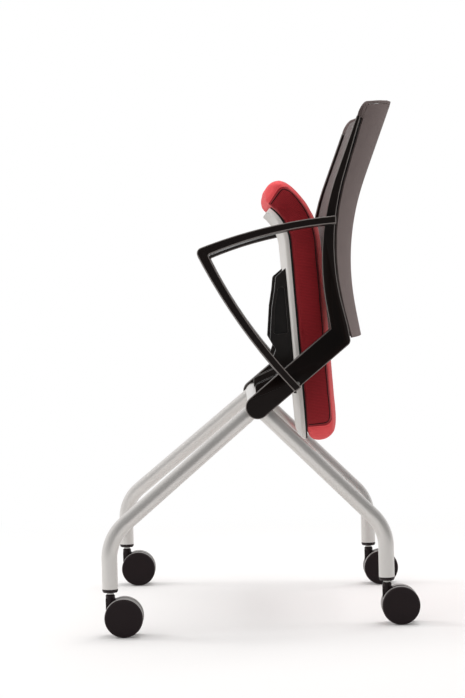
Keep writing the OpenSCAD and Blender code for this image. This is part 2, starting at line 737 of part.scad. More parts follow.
module seat_cushion() {
    color(red) in_seat() skin([for (l = stations(0, slab_len)) cushion_ring(l)]);
}

// Screws up through the seat supports to the pan
module seat_screws() {
    color(steel) in_seat() for (side = [left, right]) for (l = screw_stations)
        translate([side * support_x, -l, pan_rise - screw_grip]) {
            cylinder(d = screw_d, h = screw_grip - seat_gap);
            translate([0, 0, -head_h]) cylinder(d = head_d, h = head_h);
        }
}

// Casters. A caster stands under its leg's end and trails to the rear
wheel_r = wheel_d / 2;
hood_top = leg_end_h - collar_h - stem_show;
// Length of the collar's plug inside the leg
plug_len = 26;
module at_caster(side, end) {
    translate([side * stem_x(end), stem_y(end), 0]) children();
}

module leg_collar(side, end) {
    bore = leg_d - 2 * tube_wall - 2 * seat_gap;
    color(black) at_caster(side, end) difference() {
        union() {
            translate([0, 0, leg_end_h - collar_h / 2]) cylinder(d = leg_d, h = collar_h / 2);
            translate([0, 0, leg_end_h - collar_h])
                cylinder(d1 = leg_d * 0.88, d2 = leg_d, h = collar_h / 2);
            translate([0, 0, leg_end_h]) cylinder(d = bore, h = plug_len);
        }
        translate([0, 0, leg_end_h - collar_h - over])
            cylinder(d = stem_d + 2 * seat_gap, h = collar_h + plug_len + 2 * over);
    }
}

module stem(side, end) {
    color(steel) at_caster(side, end) {
        translate([0, 0, hood_top + run_gap])
            cylinder(d = stem_d, h = leg_end_h + plug_len - hood_top - run_gap);
        translate([0, 0, wheel_r + axle_d]) cylinder(d = pintle_d, h = hood_top - wheel_r);
    }
}

module hood(side, end) {
    web_w = wheel_gap - 2 * wheel_play;
    shoulder = hood_top - wheel_r / 5;
    color(black) at_caster(side, end) difference() {
        union() {
            translate([0, 0, wheel_r]) cylinder(d = neck_d, h = hood_top - wheel_r - neck_bevel);
            translate([0, 0, hood_top - neck_bevel])
                cylinder(d1 = neck_d, d2 = neck_d - 2 * neck_bevel, h = neck_bevel);
            rotate([90, 0, 90]) linear_extrude(web_w, center = true) polygon(rounded([
                [-neck_d / 2, wheel_r * 0.93], [trail - wheel_r * 0.26, wheel_r * 0.45],
                [trail + wheel_r * 0.39, wheel_r * 0.55], [trail + wheel_r * 0.46, wheel_r * 1.26],
                [neck_d / 2, shoulder], [-neck_d / 2, shoulder]],
                [hood_r, hood_r, hood_r, hood_r, hood_r / 3, hood_r / 16]));
        }
        for (m = [0, 1]) mirror([m, 0, 0]) translate([web_w / 2, trail, wheel_r]) rotate([0, 90, 0])
            cylinder(d = wheel_d + 4 * wheel_play, h = caster_w);
        translate([0, 0, wheel_r]) cylinder(d = pintle_d + 2 * run_gap, h = hood_top);
        translate([0, trail, wheel_r]) rotate([0, 90, 0]) cylinder(d = axle_d, h = caster_w, center = true);
    }
}

module axle(side, end) {
    color(steel) at_caster(side, end) translate([0, trail, wheel_r]) rotate([0, 90, 0])
        cylinder(d = axle_d, h = caster_w - 2 * disc_t, center = true);
}

// Places a wheel's profile: x from the gap outwards becomes the axle's direction
module on_axle(side, end, face) {
    at_caster(side, end) translate([0, trail, wheel_r]) mirror([side * face == 1 ? 0 : 1, 0, 0])
        rotate([90, 0, 90]) children();
}
outer = 1;
inner = -1;

module wheel(side, end, face) {
    in = wheel_gap / 2;
    out = caster_w / 2;
    bore_r = axle_d / 2 + run_gap;
    core_r = wheel_r - tyre_t - seat_gap;
    disc_r = wheel_r - disc_dish;
    color(black) on_axle(side, end, face) rotate_extrude() polygon([
        [bore_r, in], [hub_d / 2, in], [hub_d / 2 + recess / 3, in + recess],
        [core_r - rim_t - recess / 3, in + recess], [core_r - rim_t, in], [core_r, in],
        [core_r, out - disc_t], [disc_r, out - disc_t], [disc_r, out - disc_t / 3],
        [disc_r - disc_t / 3, out], [disc_r - disc_rim, out - disc_dish], [0, out - disc_dish],
        [0, out - disc_t], [bore_r, out - disc_t]]);
}

module tyre(side, end, face) {
    in = wheel_gap / 2;
    out = caster_w / 2 - disc_t - seat_gap;
    core_r = wheel_r - tyre_t;
    color(grey) on_axle(side, end, face) rotate_extrude() polygon([
        [core_r, in], [wheel_r - tyre_bevel, in], [wheel_r, in + tyre_bevel],
        [wheel_r, out - tyre_bevel * 2 / 3], [wheel_r - tyre_bevel / 3, out], [core_r, out]]);
}

cross_tube();
leg(left, front);  // front_leg_left
leg(right, front);  // front_leg_right
leg(left, rear);  // rear_leg_left
leg(right, rear);  // rear_leg_right
side_frame(left);  // side_frame_left
side_frame(right);  // side_frame_right
top_rail();
bottom_rail();
back_shell();
back_mesh();
arm(left);  // arm_left
arm(right);  // arm_right
arm_screws();
pivot_shaft();
hinge_bracket(left);  // hinge_bracket_left
hinge_bracket(right);  // hinge_bracket_right
seat_cushion();
seat_board();
seat_pan();
seat_support(left);  // seat_support_left
seat_support(right);  // seat_support_right
seat_screws();
pivot_bushings();
leg_collar(left, front);  // leg_collar_front_left
leg_collar(right, front);  // leg_collar_front_right
leg_collar(left, rear);  // leg_collar_rear_left
leg_collar(right, rear);  // leg_collar_rear_right
stem(left, front);  // stem_front_left
stem(right, front);  // stem_front_right
stem(left, rear);  // stem_rear_left
stem(right, rear);  // stem_rear_right
hood(left, front);  // hood_front_left
hood(right, front);  // hood_front_right
hood(left, rear);  // hood_rear_left
hood(right, rear);  // hood_rear_right
axle(left, front);  // axle_front_left
axle(right, front);  // axle_front_right
axle(left, rear);  // axle_rear_left
axle(right, rear);  // axle_rear_right
wheel(left, front, outer);  // wheel_front_left_outer
wheel(left, front, inner);  // wheel_front_left_inner
wheel(right, front, outer);  // wheel_front_right_outer
wheel(right, front, inner);  // wheel_front_right_inner
wheel(left, rear, outer);  // wheel_rear_left_outer
wheel(left, rear, inner);  // wheel_rear_left_inner
wheel(right, rear, outer);  // wheel_rear_right_outer
wheel(right, rear, inner);  // wheel_rear_right_inner
tyre(left, front, outer);  // tyre_front_left_outer
tyre(left, front, inner);  // tyre_front_left_inner
tyre(right, front, outer);  // tyre_front_right_outer
tyre(right, front, inner);  // tyre_front_right_inner
tyre(left, rear, outer);  // tyre_rear_left_outer
tyre(left, rear, inner);  // tyre_rear_left_inner
tyre(right, rear, outer);  // tyre_rear_right_outer
tyre(right, rear, inner);  // tyre_rear_right_inner
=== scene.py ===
import bpy
import bmesh
import json
import math
from mathutils import Matrix, Vector
from mathutils.bvhtree import BVHTree


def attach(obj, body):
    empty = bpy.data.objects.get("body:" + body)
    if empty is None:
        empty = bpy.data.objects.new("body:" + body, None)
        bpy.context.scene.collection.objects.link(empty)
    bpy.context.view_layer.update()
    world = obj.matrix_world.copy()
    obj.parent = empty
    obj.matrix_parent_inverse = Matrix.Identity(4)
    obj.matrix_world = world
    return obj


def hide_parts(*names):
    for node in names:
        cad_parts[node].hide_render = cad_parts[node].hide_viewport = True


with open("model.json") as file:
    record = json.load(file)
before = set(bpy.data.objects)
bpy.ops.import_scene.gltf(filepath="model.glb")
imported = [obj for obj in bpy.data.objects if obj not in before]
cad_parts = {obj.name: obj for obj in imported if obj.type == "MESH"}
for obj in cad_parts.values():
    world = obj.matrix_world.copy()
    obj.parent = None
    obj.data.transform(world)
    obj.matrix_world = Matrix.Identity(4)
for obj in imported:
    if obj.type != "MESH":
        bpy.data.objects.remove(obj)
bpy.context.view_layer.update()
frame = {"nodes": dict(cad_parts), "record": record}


# Leg tubes and cross tube: 25 mm and 29 mm steel tube, bent near the lower
# ends, welded together and coated in a satin silver paint. Each CAD solid
# gets a fine-edged copy with smooth shading.
class Wire:
    """One output of a shader node, with its maths written in Python's signs."""

    def __init__(self, nodes, socket):
        self.nodes, self.socket = nodes, socket

    def maths(self, operation, *values):
        return self.nodes.node("ShaderNodeMath", {"operation": operation}, *values)

    def __add__(self, other): return self.maths("ADD", self, other)
    def __radd__(self, other): return self.maths("ADD", other, self)
    def __sub__(self, other): return self.maths("SUBTRACT", self, other)
    def __rsub__(self, other): return self.maths("SUBTRACT", other, self)
    def __mul__(self, other): return self.maths("MULTIPLY", self, other)
    def __rmul__(self, other): return self.maths("MULTIPLY", other, self)
    def __pow__(self, other): return self.maths("POWER", self, other)
    def __lt__(self, other): return self.maths("LESS_THAN", self, other)
    def __abs__(self): return self.maths("ABSOLUTE", self)

    def at_least(self, low):
        return self.maths("MAXIMUM", self, low)

    def wave(self, pitch, shift=0.0):
        """Sine along the value, from 0 to 1, one wave for each pitch."""
        return self.maths("SINE", self * (2 * math.pi / pitch) + shift) * 0.5 + 0.5


class Nodes:
    """A shader's nodes, each made from its type, its settings and its inputs."""

    def __init__(self, tree):
        self.tree = tree

    def feed(self, made, name, value):
        """Gives one input of a node a link or a value."""
        if isinstance(value, Wire):
            self.tree.links.new(value.socket, made.inputs[name])
        else:
            made.inputs[name].default_value = value

    def node(self, kind, settings, *values, out=0):
        made = self.tree.nodes.new(kind)
        for name, setting in settings.items():
            setattr(made, name, setting)
        for i, value in enumerate(values):
            if value is not None:
                self.feed(made, i, value)
        return Wire(self, made.outputs[out])

    def ready(self, kind):
        """The node of this type that a new shader already has."""
        return next(n for n in self.tree.nodes if n.type == kind)


class Finish(Nodes):
    """A material on one Principled shader. A colour or a roughness that varies
    over the piece is put in later, and isn't given here."""

    def __init__(self, name, color=None, roughness=None, metallic=0.0, gloss=0.5):
        self.material = bpy.data.materials.new(name)
        self.material.use_nodes = True
        super().__init__(self.material.node_tree)
        self.shader = self.ready("BSDF_PRINCIPLED")
        self.put("Metallic", metallic)
        self.put("Specular IOR Level", gloss)
        if color:
            self.put("Base Color", self.paint(color))
        if roughness:
            self.put("Roughness", roughness)

    def put(self, name, value):
        self.feed(self.shader, name, value)

    def paint(self, color):
        """Colour written as the eye reads it, from 0 to 255."""
        if isinstance(color, Wire):
            return color
        return [((c / 255 + 0.055) / 1.055) ** 2.4 if c > 10 else c / 255 / 12.92 for c in color] + [1.0]

    def mix(self, mask, one, two):
        unused = [None] * 5
        return self.node("ShaderNodeMix", {"data_type": "RGBA"}, mask, *unused,
                         self.paint(one), self.paint(two), out=2)

    def spot(self):
        """Object coordinates in metres."""
        return self.node("ShaderNodeTexCoord", {}, out="Object")

    def parts(self, place):
        """The three numbers of a vector."""
        split = self.node("ShaderNodeSeparateXYZ", {}, place).socket.node
        return [Wire(self, socket) for socket in split.outputs]

    def noise(self, scale, detail=2.0):
        return self.node("ShaderNodeTexNoise", {}, self.spot(), None, scale, detail)

    def rim(self):
        """1 where a dressed piece gets a painted highlight, on its broken edges and its side-turned
        roundings, 0 on the rest of it.
        """
        return self.node("ShaderNodeAttribute", {"attribute_name": "rim"}, out="Fac")

    def bump(self, height, distance, strength):
        made = self.node("ShaderNodeBump", {})
        for name, value in (("Strength", strength), ("Distance", distance), ("Height", height)):
            self.feed(made.socket.node, name, value)
        self.put("Normal", made)

    def coat(self, weight, roughness):
        self.put("Coat Weight", weight)
        self.put("Coat Roughness", roughness)

    def sheen(self, weight, tint):
        self.put("Sheen Weight", weight)
        self.put("Sheen Roughness", 0.5)
        self.put("Sheen Tint", self.paint(tint))


def nothing_picked():
    for o in list(bpy.context.selected_objects):
        o.select_set(False)


def picked(o):
    nothing_picked()
    o.select_set(True)
    bpy.context.view_layer.objects.active = o


def dressed(node, finish, edge=0.0, steps=2, crisp=32.0, flush=(), flat=0.4, clamp=True):
    """Copy of a CAD solid with its edges sharper than crisp degrees broken by
    a small radius, but not where it butts against the nodes named in flush.
    Faces within flat degrees of each other become one. The attribute
    rim is 1 on the broken edges and on roundings that turn towards
    the chair's sides, where the materials paint a lighter highlight."""
    merge_gap, butt_gap = 3e-6, 0.0025
    turned_least, turned_most = 0.35, 0.87
    source = frame["nodes"][node]
    piece = bpy.data.objects.new(node + "_piece", source.data.copy())
    bpy.context.scene.collection.objects.link(piece)
    picked(piece)
    bpy.ops.object.mode_set(mode="EDIT")
    bpy.ops.mesh.select_all(action="SELECT")
    bpy.ops.mesh.remove_doubles(threshold=merge_gap)
    bpy.ops.mesh.customdata_custom_splitnormals_clear()
    if flat:
        bpy.ops.mesh.dissolve_limited(angle_limit=math.radians(flat))
    bpy.ops.object.mode_set(mode="OBJECT")
    piece.data.materials.clear()
    for slot in ("faces", "broken edges"):
        piece.data.materials.append(finish.material)
    if edge:
        others = []
        for other in flush:
            mesh = frame["nodes"][other].data
            points, faces = [v.co for v in mesh.vertices], [f.vertices for f in mesh.polygons]
            others.append(BVHTree.FromPolygons(points, faces))
        shape = bmesh.new()
        shape.from_mesh(piece.data)
        weight = shape.edges.layers.float.new("bevel_weight_edge")
        for line in shape.edges:
            if len(line.link_faces) != 2 or line.calc_face_angle() < math.radians(crisp):
                continue
            butts = any(all(tree.find_nearest(v.co)[3] < butt_gap for v in line.verts) for tree in others)
            line[weight] = 0.0 if butts else 1.0
        shape.to_mesh(piece.data)
        shape.free()
        bevel = piece.modifiers.new("edge", "BEVEL")
        bevel.width, bevel.segments, bevel.limit_method = edge, steps, "WEIGHT"
        bevel.use_clamp_overlap, bevel.material = clamp, 1
        bpy.ops.object.modifier_apply(modifier="edge")
    # The faces marked here are painted lighter by the black materials, a painted highlight where the
    # edges would catch the light.
    rim = piece.data.attributes.new("rim", "FLOAT", "FACE")
    for value, face in zip(rim.data, piece.data.polygons):
        turned_out = turned_least < abs(face.normal.x) < turned_most
        value.value, face.material_index = max(face.material_index, turned_out), 0
    piece.data.materials.pop(index=1)
    bpy.ops.object.shade_smooth_by_angle(angle=math.radians(crisp))
    even = piece.modifiers.new("even", "WEIGHTED_NORMAL")
    even.keep_sharp = True
    bpy.ops.object.modifier_apply(modifier="even")
    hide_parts(node)
    bodies = frame["record"]["behaviour"]["bodies"]
    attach(piece, next(body for body, names in bodies.items() if node in names))
    return piece


silver_paint = Finish("silver_paint", metallic=0.55)
cloudy = silver_paint.noise(scale=9.0)
silver_paint.put("Base Color", silver_paint.mix(cloudy, (208, 205, 202), (216, 213, 210)))
silver_paint.put("Roughness", 0.3 + 0.06 * cloudy)
for name in ("cross_tube", "front_leg_left", "front_leg_right", "rear_leg_left", "rear_leg_right"):
    dressed(name, silver_paint, edge=0.0004)


# Side frames: one black casting on each side, with the lower bar, the elbow
# and the upright that carries the backrest. The coat is fine-textured, and
# its broken edges are painted a lighter grey, a painted highlight where they
# would catch the light.
frame_black = Finish("frame_black", gloss=0.16)
frame_black.coat(weight=0.25, roughness=0.2)
grit = frame_black.noise(scale=900.0)
body = frame_black.mix(frame_black.noise(scale=14.0), (12, 4, 2), (19, 9, 6))
# Painted highlight: the marked edges and roundings take a lighter grey than the black.
frame_black.put("Base Color", frame_black.mix(frame_black.rim(), body, (112, 106, 103)))
frame_black.put("Roughness", 0.34 + 0.18 * grit)
frame_black.bump(grit, distance=0.00015, strength=0.4)
rails, side_frames = ("top_rail", "bottom_rail"), ("side_frame_left", "side_frame_right")
for name in side_frames:
    dressed(name, frame_black, edge=0.0013, steps=3, flush=rails, clamp=False)


# Hinge brackets: on each side two cheeks with a stop bar between them, that
# hold the hinge shaft over the cross tube, in the side frames' black.
for name in ("hinge_bracket_left", "hinge_bracket_right"):
    dressed(name, frame_black, edge=0.0007)


# Bottom rail of the backrest: a black moulding that closes the lower edge
# between the two faces of the back.
dressed("bottom_rail", frame_black, edge=0.0012, crisp=40.0, flush=side_frames)


# Rear face of the back: a taupe knit bonded over a thin curved shell. The
# CAD skin is copied and rounded off, so that the curve shows no facets.
def rounded_skin(node, finish):
    """Smooth copy of a CAD skin, its open border kept crisp."""
    quad_limit, rim_angle, soft_angle = math.radians(60), math.radians(50), math.radians(40)
    piece = dressed(node, finish, flat=0.0)
    bpy.ops.object.mode_set(mode="EDIT")
    bpy.ops.mesh.select_all(action="SELECT")
    bpy.ops.mesh.tris_convert_to_quads(face_threshold=quad_limit, shape_threshold=quad_limit)
    bpy.ops.mesh.select_all(action="DESELECT")
    bpy.ops.object.mode_set(mode="OBJECT")
    shape = bmesh.new()
    shape.from_mesh(piece.data)
    crease = shape.edges.layers.float.new("crease_edge")
    for edge in shape.edges:
        if len(edge.link_faces) == 2 and edge.calc_face_angle() > rim_angle:
            edge[crease] = 1.0
    shape.to_mesh(piece.data)
    shape.free()
    soft = piece.modifiers.new("round", "SUBSURF")
    soft.levels = soft.render_levels = 2
    bpy.ops.object.modifier_apply(modifier="round")
    bpy.ops.object.shade_smooth_by_angle(angle=soft_angle)
    return piece


back_knit = Finish("back_knit", roughness=0.85, gloss=0.2)
back_knit.sheen(weight=0.3, tint=(226, 206, 202))
course, wale, wale_shift = 0.0017, 0.0021, 1.6
loop_sway, gap_level = 2.4, 0.35
x, y, z = back_knit.parts(back_knit.spot())
wales = gap_level + (1 - gap_level) * x.wave(wale, wale_shift)
stitches = z.wave(course, loop_sway * x.wave(wale)) * wales
tone = stitches + 0.5 * back_knit.noise(scale=45.0, detail=4.0) - 0.25
back_knit.put("Base Color", back_knit.mix(tone, (64, 54, 53), (99, 87, 85)))
back_knit.bump(stitches, distance=0.0004, strength=0.5)
rounded_skin("back_shell", back_knit)


# Top rail: it closes the upper edge of the back in one soft rounded edge, with
# the knit drawn over it. Its ends lie on the sloping tops of the side frames,
# a plane through the point slope_x, slope_y, slope_z.
slope_x, slope_y, slope_z = 0.2419, 0.1691, 0.8114
fall_inwards, fall_backwards = 0.05, 0.364
end_below, end_outside = 0.8135, 0.2270
rail = dressed("top_rail", back_knit, edge=0.0012, steps=3, crisp=40.0, flush=side_frames)
for v in rail.data.vertices:
    if v.co.z < end_below and abs(v.co.x) > end_outside:
        v.co.z = slope_z - (slope_x - abs(v.co.x)) * fall_inwards - (v.co.y - slope_y) * fall_backwards


# Front face of the back: a grey mesh with fine slanted ribs, stretched
# between the side frames.
back_net = Finish("back_net", roughness=0.8, gloss=0.2)
back_net.put("Sheen Weight", 0.3)
back_net.put("Sheen Roughness", 0.5)
rib_pitch, pore_pitch, slant = 0.0036, 0.0017, 0.55
x, y, z = back_net.parts(back_net.spot())
ribs = (x * slant + z).wave(rib_pitch)
pores = ribs * (0.4 + 0.6 * (x - z * slant).wave(pore_pitch))
back_net.put("Base Color", back_net.mix(pores, (66, 59, 58), (128, 118, 115)))
back_net.bump(pores, distance=0.0006, strength=0.6)
rounded_skin("back_mesh", back_net)


# Armrests: black open loops of one flat bar bent to a point in front, their
# edges well rounded.
for name in ("arm_left", "arm_right"):
    dressed(name, frame_black, edge=0.0016, steps=3, clamp=False)


# Screws, hinge shaft and bushings: zinc-plated steel screws that hold the
# armrests and the pan, the bright steel shaft through both brackets, and the
# grey acetal bushings on which the seat supports turn.
zinc = Finish("zinc", (176, 175, 173), metallic=0.9)
zinc.put("Roughness", 0.24 + 0.16 * zinc.noise(scale=160.0))
for name in ("arm_screws", "seat_screws", "pivot_shaft"):
    dressed(name, zinc, edge=0.0005)
acetal = Finish("acetal", (120, 120, 120), 0.45)
acetal.bump(acetal.noise(scale=300.0), distance=0.0001, strength=0.3)
dressed("pivot_bushings", acetal, edge=0.0004)


# Seat supports: black glass-filled nylon brackets with a rim round a thin
# web. They turn on the shaft, and a notch and a heel meet the stop bars.
nylon_black = Finish("nylon_black", gloss=0.16)
nylon_black.coat(weight=0.25, roughness=0.2)
# Painted highlight: broken edges and side-turned roundings take a lighter grey.
nylon_black.put("Base Color", nylon_black.mix(nylon_black.rim(), (14, 8, 6), (112, 107, 105)))
pits = nylon_black.noise(scale=700.0, detail=3.0)
nylon_black.put("Roughness", 0.38 + 0.18 * pits)
nylon_black.bump(pits, distance=0.00015, strength=0.4)
for name in ("seat_support_left", "seat_support_right"):
    dressed(name, nylon_black, edge=0.0012, steps=3)


# Seat pan and board: a light grey moulding under the cushion, and the dark
# edge of the board that carries the foam between them.
pan_grey = Finish("pan_grey", roughness=0.5)
pan_grey.put("Base Color", pan_grey.mix(pan_grey.noise(scale=12.0), (200, 196, 192), (211, 207, 203)))
pan_grey.bump(pan_grey.noise(scale=800.0), distance=0.00012, strength=0.4)
rounded_skin("seat_pan", pan_grey)
board_black = Finish("board_black", (16, 14, 14), 0.8)
board_black.bump(board_black.noise(scale=500.0), distance=0.0002, strength=0.5)
dressed("seat_board", board_black)


# Seat cushion: foam under red upholstery. A darker ribbed panel is sewn in
# on each side with a welted seam, and the cover wraps the nose and rear end.
# A point of it is l from the rear end, and n above the middle of the foam.
hinge_y, hinge_z = 0.051073, 0.394303
seat_turn = math.radians(86.3)
seat_behind, seat_ahead = 0.108, 0.216
nose_r, nose_turn = 0.104, math.radians(50)
pan_rise, pan_t, board_t, cushion_t = 0.013, 0.008, 0.003, 0.0395
seat_front_w, seat_back_w = 0.440, 0.416
rear_corner_r, front_corner_r = 0.060, 0.045
mid_rise = pan_rise + pan_t + board_t + cushion_t / 2
flat_len = seat_behind + seat_ahead
slab_len = flat_len + nose_r * nose_turn + cushion_t / 2


def seat_place(l, x, n):
    """Point of the seat at l and n, x from the chair's middle plane."""
    a = max(0.0, l - flat_len) / nose_r
    y = seat_behind - min(l, flat_len) - (nose_r + n) * math.sin(a)
    z = mid_rise - nose_r + (nose_r + n) * math.cos(a)
    c, s = math.cos(-seat_turn), math.sin(-seat_turn)
    return Vector((x, hinge_y + y * c - z * s, hinge_z + y * s + z * c))


def seat_share(p):
    """The l and n of a point of the seat."""
    c, s = math.cos(seat_turn), math.sin(seat_turn)
    y, z = (p.y - hinge_y) * c - (p.z - hinge_z) * s, (p.y - hinge_y) * s + (p.z - hinge_z) * c
    if y > -seat_ahead:
        return seat_behind - y, z - mid_rise
    ahead, up = -seat_ahead - y, z - mid_rise + nose_r
    return flat_len + nose_r * math.atan2(ahead, up), math.hypot(ahead, up) - nose_r


def seat_half(l):
    """Half width of the cushion at l."""
    end_gap = 0.001
    l = min(max(l, end_gap), slab_len - end_gap)
    ahead = slab_len - l
    rear = rear_corner_r - math.sqrt(rear_corner_r ** 2 - max(0.0, rear_corner_r - l) ** 2)
    front = front_corner_r - math.sqrt(front_corner_r ** 2 - max(0.0, front_corner_r - ahead) ** 2)
    return (seat_back_w + (seat_front_w - seat_back_w) * l / slab_len) / 2 - rear - front


# The seam round a side panel as points of l and n about 4 mm apart: up behind
# the rear corner, along the upper edge and down at the nose.
panel_rear, panel_nose, panel_top, panel_low, panel_r = 0.0265, 0.4170, 0.0225, -0.0190, 0.0160
bend_rear, bend_nose, bend_n = panel_rear + panel_r, panel_nose - panel_r, panel_top - panel_r
rise, run = bend_n - panel_low, bend_nose - bend_rear
side_steps, top_steps, bend_steps = 6, 90, 6


def seam_bend(l, start):
    """Rounded corner of the seam about l, 90 degrees on from its start."""
    angles = [math.radians(start - 90.0 * k / bend_steps) for k in range(bend_steps + 1)]
    return [(l + panel_r * math.cos(a), bend_n + panel_r * math.sin(a)) for a in angles]


seam_line = [(panel_rear, panel_low + rise * k / side_steps) for k in range(side_steps)]
seam_line += seam_bend(bend_rear, 180.0)
seam_line += [(bend_rear + run * k / top_steps, panel_top) for k in range(1, top_steps)]
seam_line += seam_bend(bend_nose, 90.0)
seam_line += [(panel_nose, bend_n - rise * k / side_steps) for k in range(1, side_steps + 1)]


def off_seam(l, n):
    """Distance from the seam's line in the plane of l and n."""
    return min(math.hypot(l - u, n - v) for u, v in seam_line)


# The foam's cover is puffed as cloth under pressure. Its underside and the
# seams are held, and no point may go further than puff_most.
seat_cloth = Finish("seat_cloth", roughness=0.8, gloss=0.25)
side_band, sole_band, seam_band = 0.012, 0.003, 0.0035
voxel, puff_frames, puff_most = 0.0045, 20, 0.003
cushion = dressed("seat_cushion", seat_cloth)
remesh = cushion.modifiers.new("even", "REMESH")
remesh.mode, remesh.voxel_size = "VOXEL", voxel
bpy.ops.object.modifier_apply(modifier="even")
smooth = cushion.modifiers.new("smooth", "SMOOTH")
smooth.factor, smooth.iterations = 0.5, 4
bpy.ops.object.modifier_apply(modifier="smooth")
held = cushion.vertex_groups.new(name="held")
for v in cushion.data.vertices:
    l, n = seat_share(v.co)
    by_side = abs(v.co.x) > seat_half(l) - side_band
    under = n < -cushion_t / 2 + sole_band
    held.add([v.index], 1.0 if under or (by_side and off_seam(l, n) < seam_band) else 0.0, "REPLACE")
cloth = cushion.modifiers.new("cloth", "CLOTH")
cloth.settings.quality = 5
cloth.settings.mass = 0.3
cloth.settings.use_pressure = True
cloth.settings.uniform_pressure_force = 4.0
cloth.settings.effector_weights.gravity = 0.0
cloth.settings.vertex_group_mass = "held"
cloth.settings.tension_stiffness = cloth.settings.compression_stiffness = 15.0
cloth.settings.bending_stiffness = 0.5
cloth.point_cache.frame_start, cloth.point_cache.frame_end = 1, puff_frames
for step in range(1, puff_frames + 1):
    bpy.context.scene.frame_set(step)
grown = cushion.evaluated_get(bpy.context.evaluated_depsgraph_get())
puffed = [v.co.copy() for v in grown.data.vertices]
cushion.modifiers.remove(cloth)
bpy.context.scene.frame_set(1)
for v, new in zip(cushion.data.vertices, puffed):
    grows = new - v.co
    if grows.length > puff_most:
        grows *= puff_most / grows.length
    v.co += grows
finer = cushion.modifiers.new("finer", "SUBSURF")
finer.levels = finer.render_levels = 1
bpy.ops.object.modifier_apply(modifier="finer")

# The seam draws the cover in along its line, and a thin welt lies in the fold.
groove_half, groove_deep, groove_low = 0.0055, 0.0014, panel_low + 0.002
normals = [v.normal.copy() for v in cushion.data.vertices]
for v, normal in zip(cushion.data.vertices, normals):
    l, n = seat_share(v.co)
    if abs(v.co.x) > seat_half(l) - side_band and n > groove_low:
        share = off_seam(l, n) / groove_half
        if share < 1.0:
            v.co -= normal * groove_deep * (1.0 - share ** 2) ** 2
cushion.data.update()
bpy.ops.object.shade_smooth()
bpy.context.view_layer.update()

welt_r, welt_lift, outside, twist_pitch = 0.0010, 0.0001, 0.004, 0.0016
welt_red = Finish("welt_red", roughness=0.7, gloss=0.2)
x, y, z = welt_red.parts(welt_red.spot())
twist = (z + y + 0.5 * x).wave(twist_pitch)
welt_red.put("Base Color", welt_red.mix(twist, (34, 6, 8), (62, 12, 16)))
welt_red.bump(twist, distance=0.0002, strength=0.5)
for side, name in ((1, "left"), (-1, "right")):
    route = []
    for l, n in seam_line:
        beside = seat_place(l, side * (seat_half(l) + outside), n)
        found, at, normal, face = cushion.closest_point_on_mesh(beside)
        route.append(at + normal * welt_lift)
    for turn in range(3):
        evened = [(a + b * 2 + c) / 4 for a, b, c in zip(route, route[1:], route[2:])]
        route = [route[0]] + evened + [route[-1]]
    nothing_picked()
    curve = bpy.data.curves.new("seam_" + name, "CURVE")
    curve.dimensions, curve.use_fill_caps = "3D", True
    curve.bevel_depth, curve.bevel_resolution = welt_r, 2
    spline = curve.splines.new("POLY")
    spline.points.add(len(route) - 1)
    for point, at in zip(spline.points, route):
        point.co = (*at, 1.0)
    welt = bpy.data.objects.new("seam_" + name, curve)
    bpy.context.scene.collection.objects.link(welt)
    picked(welt)
    bpy.ops.object.convert(target="MESH")
    welt = bpy.context.active_object
    bpy.ops.object.shade_smooth()
    welt.data.materials.append(welt_red.material)
    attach(welt, "seat")

# The cover's weave and the panels' ribs follow l and n, which go on the mesh
# as an attribute, with the distance in from the side as its third number.
layout = cushion.data.attributes.new("layout", "FLOAT_VECTOR", "POINT")
for v, place in zip(cushion.data.vertices, layout.data):
    l, n = seat_share(v.co)
    place.vector = (l, n, seat_half(l) - abs(v.co.x))
seat_cloth.sheen(weight=0.25, tint=(255, 170, 168))
weave_pitch, panel_rib_pitch, panel_depth = 0.0015, 0.0024, 0.010
place = seat_cloth.node("ShaderNodeAttribute", {"attribute_name": "layout"}, out="Vector")
along, over, inward = seat_cloth.parts(place)
x, y, z = seat_cloth.parts(seat_cloth.spot())
past_l = (abs(along - (bend_rear + bend_nose) / 2) - run / 2).at_least(0.0)
past_n = (over - bend_n).at_least(0.0)
in_panel = (past_l * past_l + past_n * past_n) ** 0.5 < panel_r
panel = in_panel * (inward < panel_depth)
rib = along.wave(panel_rib_pitch)
thread = seat_cloth.noise(scale=900.0)
fade = seat_cloth.noise(scale=16.0, detail=3.0)
weave = along.wave(weave_pitch) * x.wave(weave_pitch)
cover = seat_cloth.mix(0.5 * weave + 0.4 * thread + 0.2 * fade, (208, 60, 66), (242, 96, 98))
dark = seat_cloth.mix(0.45 * rib + 0.3 * thread + 0.25 * fade, (104, 14, 22), (158, 30, 38))
seat_cloth.put("Base Color", seat_cloth.mix(panel, cover, dark))
seat_cloth.bump(panel * rib + (1 - panel) * weave * 0.6 + 0.5 * thread, distance=0.0005, strength=0.5)


# Casters: black nylon hood on a bright stem, two wheels with a flat black
# disc outside and a soft grey tread, and a black collar in the leg's end.
wheel_black = Finish("wheel_black", gloss=0.2)
# Painted highlight: the broken edges of hoods, collars and discs are painted lighter.
wheel_black.put("Base Color", wheel_black.mix(wheel_black.rim(), (26, 15, 18), (44, 36, 37)))
wheel_black.put("Roughness", 0.34 + 0.16 * wheel_black.noise(scale=260.0))
wheel_black.bump(wheel_black.noise(scale=700.0), distance=0.0001, strength=0.3)
groove_shade_pitch = 0.0041
tread_grey = Finish("tread_grey", roughness=0.5)
x, y, z = tread_grey.parts(tread_grey.spot())
